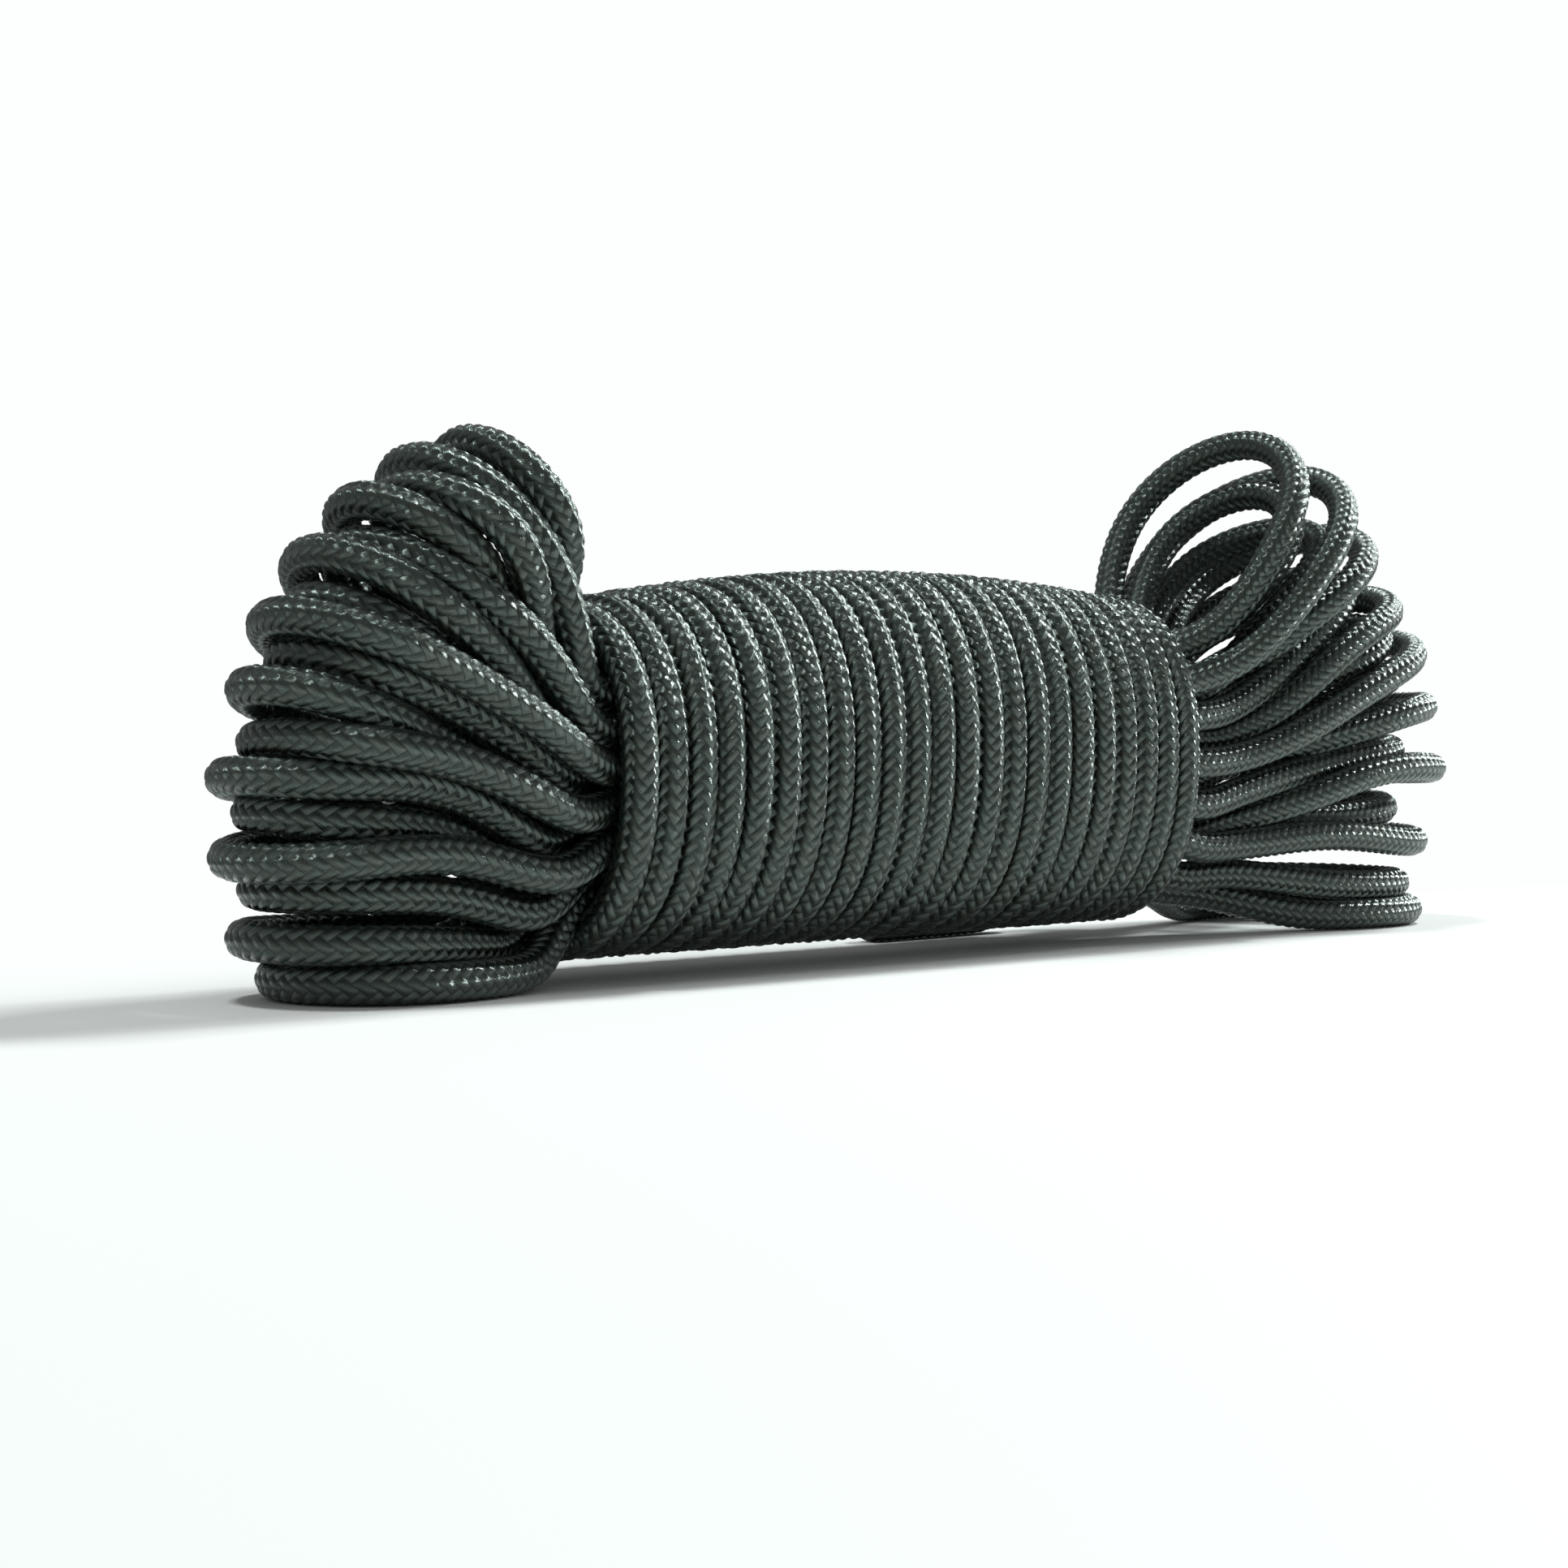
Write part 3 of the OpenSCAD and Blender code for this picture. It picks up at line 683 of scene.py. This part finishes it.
def braid_material(name):
    """Black braid of shiny filaments. The UV map Braid gives turns round the cord and lays along it."""
    n = Nodes(name)
    parts = n.new("ShaderNodeSeparateXYZ")
    n.link(n.new("ShaderNodeUVMap", uv_map="Braid").outputs[0], parts.inputs[0])
    u, v = parts.outputs[0], parts.outputs[1]
    a = n.math("MULTIPLY", n.math("ADD", u, v), CARRIERS)
    b = n.math("MULTIPLY", n.math("SUBTRACT", u, v), CARRIERS)
    i, j = n.math("FLOOR", a), n.math("FLOOR", b)
    fa, fb = n.math("SUBTRACT", a, i), n.math("SUBTRACT", b, j)
    q = n.math("FLOORED_MODULO", n.math("ADD", i, j), PATTERN)
    under = n.math("GREATER_THAN", q, OVER_TO)   # 1 where the yarns of the second way lie on top
    across = n.mix(under, fa, fb)
    along = n.mix(under, n.math("MULTIPLY", n.math("ADD", fb, q), 1 / FLOAT),
                  n.math("MULTIPLY", n.math("ADD", fa, n.math("SUBTRACT", q, FLOAT)), 1 / FLOAT))
    yarn = n.mix(under, i, n.math("ADD", j, SECOND_WAY_ID))
    float_a = n.math("FLOOR", n.math("MULTIPLY", n.math("ADD", i, b), 1 / PATTERN))
    ahead = n.math("ADD", j, n.math("SUBTRACT", a, FLOAT))
    float_b = n.math("FLOOR", n.math("MULTIPLY", ahead, 1 / PATTERN))
    float_id = n.mix(under, float_a, float_b)
    dice = n.random(n.vector(yarn, float_id, under))
    dice_2 = n.random(n.vector(float_id, yarn, SECOND_DICE_ID))

    off_mid = n.math("ABSOLUTE", n.math("MULTIPLY_ADD", across, 2.0, -1.0))
    off_end = n.math("ABSOLUTE", n.math("MULTIPLY_ADD", along, 2.0, -1.0))
    crown = n.math("SUBTRACT", 1.0, n.math("POWER", off_mid, CROWN_POWER))
    arch = n.math("SUBTRACT", 1.0, n.math("POWER", off_end, ARCH_POWER))
    high = n.math("MULTIPLY", crown, arch, clamp=True)

    # filaments: long fine streaks that fan a little towards the ends of each float
    spread = n.math("MULTIPLY_ADD", n.math("POWER", off_end, 2.0), STREAK_SPREAD, 1.0)
    fan = n.math("MULTIPLY", n.math("SUBTRACT", across, 0.5), spread)

    def streaks(count_across, count_along, shift, detail, rough, chance):
        return n.noise(n.vector(n.math("MULTIPLY", fan, count_across),
                                n.math("MULTIPLY", along, count_along),
                                n.math("MULTIPLY", chance, shift)), 1.0, detail, rough)

    grain, fine = streaks(*GRAIN_STREAKS, dice), streaks(*FINE_STREAKS, dice_2)
    filaments = n.math("ADD", n.math("MULTIPLY", grain, GRAIN_HIGH), n.math("MULTIPLY", fine, FINE_HIGH))
    normal = n.bump(n.math("ADD", high, filaments), 1.0, FILAMENT_BUMP)

    shade = n.math("MULTIPLY_ADD", dice, 0.5, n.math("MULTIPLY", grain, 0.7), clamp=True)
    tint = n.colour(shade, SHEATH_DARK, SHEATH_LIGHT)
    warm = n.math("MULTIPLY", n.math("GREATER_THAN", dice_2, WARM_FROM), WARM_SHARE)
    tint = n.colour(warm, tint, SHEATH_WARM)
    # 0 in the gaps beside the yarns and where they dive: painted shade there, a near-black colour standing
    # in for the shadow in the grooves, and a duller surface
    outside_gap_shade_and_dulling = n.math("MULTIPLY", n.math("SUBTRACT", 1.0, n.math("POWER", off_mid, 9.0)),
                   n.math("SUBTRACT", 1.0, n.math("POWER", off_end, 12.0)), clamp=True)
    rough = n.math("MULTIPLY_ADD", grain, ROUGH_GRAIN,
                   n.math("MULTIPLY_ADD", dice_2, ROUGH_DICE, ROUGH_LEAST))
    # each yarn shines across its filaments, which run half way between the two ways of the mesh
    way = n.new("ShaderNodeTangent", direction_type="UV_MAP", uv_map="Braid").outputs[0]
    n.surface(Base_Color=n.colour(outside_gap_shade_and_dulling, GAP_PAINTED_SHADE, tint), Roughness=n.mix(outside_gap_shade_and_dulling, GAP_ROUGH, rough),
              Normal=normal, Coat_Normal=normal, Tangent=way,
              Anisotropic=0.7, Anisotropic_Rotation=n.mix(under, 0.125, 0.875),
              Coat_Weight=0.55, Coat_Roughness=0.145,
              IOR=1.55, Specular_IOR_Level=1.0, Specular_Tint=(0.78, 1.0, 0.90, 1))
    return n.mat


def core_material(name):
    """Pale parallel filaments of a core strand, with a little unevenness."""
    n = Nodes(name)
    where = n.new("ShaderNodeTexCoord").outputs["Object"]
    grain = n.noise(where, 900.0, 3.0, 0.6)
    patch = n.noise(where, 140.0, 2.0, 0.5)
    n.surface(Base_Color=n.colour(grain, (0.62, 0.60, 0.52, 1), (0.82, 0.81, 0.74, 1)),
              Roughness=n.math("MULTIPLY_ADD", patch, 0.3, 0.4), Normal=n.bump(grain, 0.6, 0.0001))
    return n.mat


def melt_material(name):
    """Black melted polyamide: glossy, with fine pits and a few dull scorched patches."""
    n = Nodes(name)
    where = n.new("ShaderNodeTexCoord").outputs["Object"]
    patch = n.noise(where, 420.0, 3.0, 0.55)
    pits = n.noise(where, 2600.0, 2.0, 0.6)
    n.surface(Base_Color=n.colour(patch, (0.006, 0.006, 0.006, 1), (0.030, 0.026, 0.022, 1)),
              Roughness=n.math("MULTIPLY_ADD", patch, 0.45, 0.12),
              Normal=n.bump(n.math("ADD", patch, n.math("MULTIPLY", pits, 0.3)), 0.5, 0.0002))
    return n.mat


def floor_material(name):
    n = Nodes(name)
    n.surface(Base_Color=(0.985, 0.975, 0.965, 1), Roughness=0.7)
    return n.mat


sheath_mat, core_mat = braid_material("sheath_braid"), core_material("core_strands")
seal_mat, floor_mat = melt_material("melted_end"), floor_material("floor_white")

# ---------------------------------------------------------------- the cord's pieces
SMOOTH_STEP = 0.0015
LOOP_ROUNDING, TURN_ROUNDING, END_ROUNDING = 0.006, 0.002, 0.003
FIXED_STEP = 0.004                    # spacing of the points that stand for the lead and the winding
FIXED_TURNS = 2                       # turns at each end of the winding that the strands can touch
HIDDEN_IN = 0.012                     # from this far inside the winding's edges the loops don't show
JOIN_RINGS, JOIN_PULL = 24, 0.55      # the loops' last stretch, curved onto the lead
LEAD_KEPT_FROM = 4                    # point of the lead where the loops end


def hidden_in_waist(p):
    return np.abs(p[:, 0] + FOOT_CENTRE[0]) < WAIST_END - HIDDEN_IN


def led_onto(path, onto, way):
    """The path with its last stretch curved so that it reaches the point onto along way."""
    turn = path[-1 - JOIN_RINGS]
    pull = JOIN_PULL * np.linalg.norm(onto - turn)
    curve = bezier(turn, turn + pull * unit(turn - path[-3 - JOIN_RINGS]), onto - pull * way, onto,
                   np.linspace(0, 1, JOIN_RINGS + 1)[:, None])
    return smoothed(np.concatenate([path[:-1 - JOIN_RINGS], curve]), SMOOTH_STEP, TURN_ROUNDING)


winding_raw, lead_raw = winding_path(), lead_path()
edge_turns = FIXED_TURNS * PER_TURN
fixed = np.concatenate([spaced(p, FIXED_STEP) for p in (lead_raw, winding_raw[:edge_turns],
                                                        winding_raw[-edge_turns:])])
loops_raw = settled(hank_path(CAD_LEFT, CAD_RIGHT), hank_path(LAID_LEFT, LAID_RIGHT, SQUEEZE), fixed)
lead_way = unit(lead_raw[LEAD_KEPT_FROM + 1] - lead_raw[LEAD_KEPT_FROM - 1])
hank = led_onto(smoothed(loops_raw, SMOOTH_STEP, LOOP_ROUNDING), lead_raw[LEAD_KEPT_FROM],
                lead_way) - FOOT_CENTRE
winding = smoothed(winding_raw, SMOOTH_STEP, TURN_ROUNDING) - FOOT_CENTRE
lead = lead_raw[LEAD_KEPT_FROM:] - FOOT_CENTRE
tail = smoothed(WINDING_TO + TAIL_STEPS, SMOOTH_STEP, END_ROUNDING) - FOOT_CENTRE
start = smoothed(START_FROM + START_STEPS, SMOOTH_STEP, END_ROUNDING) - FOOT_CENTRE


def end_line(path):
    """The straight stretch of sheath past the end of a free cord."""
    way = unit(path[-1] - path[-2])
    return path[-1] + np.linspace(0, END_LENGTH, 9)[:, None] * way


SEAL_SIDES, SEAL_RINGS = 48, 8        # points round the plug, and rings of its dome
SEAL_SEAT, SEAL_LIP = 0.0004, 0.00015   # depth of the plug in the sheath, and its lip past the sheath
LUMPS, LUMP_HIGH = 6, 0.0003          # waves that chance lays on the plug, and their height
LUMP_TURN, LUMP_CLIMB = 3, 900        # radians that chance turns a wave, and turns it by a metre up
LUMP_FROM, FACE_SINK, FACE_R = 0.002, 0.0004, 0.0035    # full lumps from this radius; hollow of the face


def melted(name, path, seed):
    """Melted end: a domed plug with a drip-smoothed, slightly lumpy face."""
    way = unit(path[-1] - path[-2])
    side = unit(np.cross(way, UP))
    up = np.cross(side, way)
    base = path[-1] + END_LENGTH * way
    lumps = np.random.default_rng(seed).uniform(-1, 1, (LUMPS, 4))
    radius, dome = CORD_D / 2, SEAL_LENGTH / 2
    # the outline as radius and height, from the centre of the seat to the centre of the face
    profile = [(0.0, -SEAL_SEAT), (radius, -SEAL_SEAT), (radius + SEAL_LIP, SEAL_SEAT),
               (radius, SEAL_LENGTH - dome)]
    profile += [(radius - dome * (1 - math.cos(a)), SEAL_LENGTH - dome * (1 - math.sin(a)))
                for a in np.linspace(0.2, math.pi / 2, SEAL_RINGS)]
    profile += [(share * (radius - dome), SEAL_LENGTH) for share in (0.75, 0.5, 0.25, 0.0)]
    co, faces = [], []
    for r, h in profile:
        on_dome = h > SEAL_LENGTH / 2
        sink = -FACE_SINK * (1 - min(1, r / FACE_R)) * on_dome
        for k in range(SEAL_SIDES):
            a = 2 * math.pi * k / SEAL_SIDES
            lump = sum(w[0] * math.sin((n % 3 + 1) * a + LUMP_TURN * w[1] + LUMP_CLIMB * h * w[2])
                       for n, w in enumerate(lumps)) / LUMPS
            bump = LUMP_HIGH * lump * min(1, r / LUMP_FROM)
            co.append(base + (r - abs(bump)) * (math.cos(a) * side + math.sin(a) * up)
                      + (h + sink + bump * on_dome) * way)
    for i in range(len(profile) - 1):
        for k in range(SEAL_SIDES):
            low, m = i * SEAL_SIDES, (k + 1) % SEAL_SIDES
            faces.append((low + k, low + m, low + SEAL_SIDES + m, low + SEAL_SIDES + k))
    mesh = bpy.data.meshes.new(name)
    mesh.from_pydata([tuple(c) for c in co], [], faces)
    mesh.polygons.foreach_set("use_smooth", [True] * len(faces))
    mesh.update()
    return linked(name, mesh)


loops_piece, loops_line = braided("loops_braid", hank, hidden=hidden_in_waist, strips=26)
winding_piece, winding_line = braided("winding_braid", winding, strips=16)
lead_piece, _ = braided("lead_braid", lead)
tail_piece, tail_line = braided("tail_braid", tail)
start_piece, _ = braided("start_braid", start)
tail_end, _ = braided("tail_end_braid", end_line(tail), phase=lengths(tail)[-1] / LAY)
start_end, _ = braided("start_end_braid", end_line(start), phase=lengths(start)[-1] / LAY)
tail_melt, start_melt = melted("tail_melt", tail, 11), melted("start_melt", start, 12)
for piece, node, material, slot_name in (
        (loops_piece, "hank_loops", sheath_mat, "sheath"),
        (winding_piece, "waist_winding", sheath_mat, "sheath"),
        (lead_piece, "winding_lead", sheath_mat, "sheath"),
        (tail_piece, "tail_cord", sheath_mat, "sheath"),
        (start_piece, "start_cord", sheath_mat, "sheath"),
        (tail_end, "tail_sheath", sheath_mat, "sheath"),
        (start_end, "start_sheath", sheath_mat, "sheath"),
        (tail_melt, "tail_seal", seal_mat, "seal"),
        (start_melt, "start_seal", seal_mat, "seal")):
    piece.data.materials.append(material)
    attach(piece, "root")
    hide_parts(node)

# the core strands stay the CAD's own nodes
for node in ("tail_core", "start_core"):
    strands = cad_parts[node].data.materials
    strands.clear()
    strands.append(core_mat)

# ---------------------------------------------------------------- camera
PHOTO_PX, FOCAL_PX, HORIZON_PX = 1932, 3451, 61     # the last is how far above the middle eye level lies
SENSOR_MM = 36.0
VIEW_TURN, VIEW_DROP = math.radians(44.6), math.atan(HORIZON_PX / FOCAL_PX)
EYE = (-0.51639, -0.4741, 0.0544)


def look(o, place, way):
    """Puts an object at place with its own -Z along way."""
    o.location = place
    o.rotation_mode = "QUATERNION"
    o.rotation_quaternion = way.to_track_quat("-Z", "Y")


camera_data = bpy.data.cameras.new("camera")
camera_data.sensor_fit = "HORIZONTAL"
camera_data.sensor_width = SENSOR_MM
camera_data.lens = SENSOR_MM * FOCAL_PX / PHOTO_PX
camera_data.clip_start, camera_data.clip_end = 0.02, 50
camera = linked("camera", camera_data)
bpy.context.scene.camera = camera
look(camera, EYE, Vector((math.sin(VIEW_TURN) * math.cos(VIEW_DROP),
                          math.cos(VIEW_TURN) * math.cos(VIEW_DROP), -math.sin(VIEW_DROP))))

# ---------------------------------------------------------------- floor
# The surface's back edge, by its distance to the right of the camera's axis and along it
EDGE_LEFT, EDGE_RIGHT = (-0.181, 0.647), (0.284, 1.015)
FLOOR_SIZE = 4.0                      # half the edge's length, and half the floor's depth
right_way = np.array([math.cos(VIEW_TURN), -math.sin(VIEW_TURN), 0])
far_way = np.array([math.sin(VIEW_TURN), math.cos(VIEW_TURN), 0])
edge = [np.array([EYE[0], EYE[1], 0]) + d[0] * right_way + d[1] * far_way for d in (EDGE_LEFT, EDGE_RIGHT)]
edge_way = unit(edge[1] - edge[0])
near_way = np.array([edge_way[1], -edge_way[0], 0])
back = [edge[0] - FLOOR_SIZE * edge_way, edge[0] + FLOOR_SIZE * edge_way]
front = [p + 2 * FLOOR_SIZE * near_way for p in back]
floor_mesh = bpy.data.meshes.new("floor")
floor_mesh.from_pydata([tuple(p) for p in front + back[::-1]], [], [(0, 1, 2, 3)])
floor = linked("floor", floor_mesh)
floor.data.materials.append(floor_mat)

# ---------------------------------------------------------------- backdrop and light
SEEN_COLOUR, SEEN_STRENGTH = (0.975, 1.0, 0.985, 1), 1.0     # what the camera sees behind the floor
LIT_COLOUR, LIT_STRENGTH = (0.97, 1.0, 1.0, 1), 0.25         # what lights the object from all round
LAMP_COLOUR, LAMP_TARGET = (0.92, 1, 0.98), (0, 0, 0.05)

world = bpy.data.worlds.new("world")
bpy.context.scene.world = world
world.use_nodes = True
tree = world.node_tree
tree.nodes.clear()
mix = tree.nodes.new("ShaderNodeMixShader")
ray = tree.nodes.new("ShaderNodeLightPath")
tree.links.new(ray.outputs["Is Camera Ray"], mix.inputs[0])
for index, colour, strength in ((1, LIT_COLOUR, LIT_STRENGTH), (2, SEEN_COLOUR, SEEN_STRENGTH)):
    background = tree.nodes.new("ShaderNodeBackground")
    background.inputs[0].default_value = colour
    background.inputs[1].default_value = strength
    tree.links.new(background.outputs[0], mix.inputs[index])
tree.links.new(mix.outputs[0], tree.nodes.new("ShaderNodeOutputWorld").inputs[0])

for name, place, (width, height), watts in (
        ("key_light", (2.2, 0.2, 2.4), (0.60, 0.36), 60),
        ("right_light", (3.0, -0.2, 1.2), (0.5, 0.7), 60),
        ("top_light", (-0.60, 0.36, 3.15), (0.42, 0.30), 34)):
    light = bpy.data.lights.new(name, "AREA")
    light.shape, light.size, light.size_y = "RECTANGLE", width, height
    light.energy, light.color = watts, LAMP_COLOUR
    look(linked(name, light), place, Vector(LAMP_TARGET) - Vector(place))

bpy.context.scene.view_settings.view_transform = "Standard"
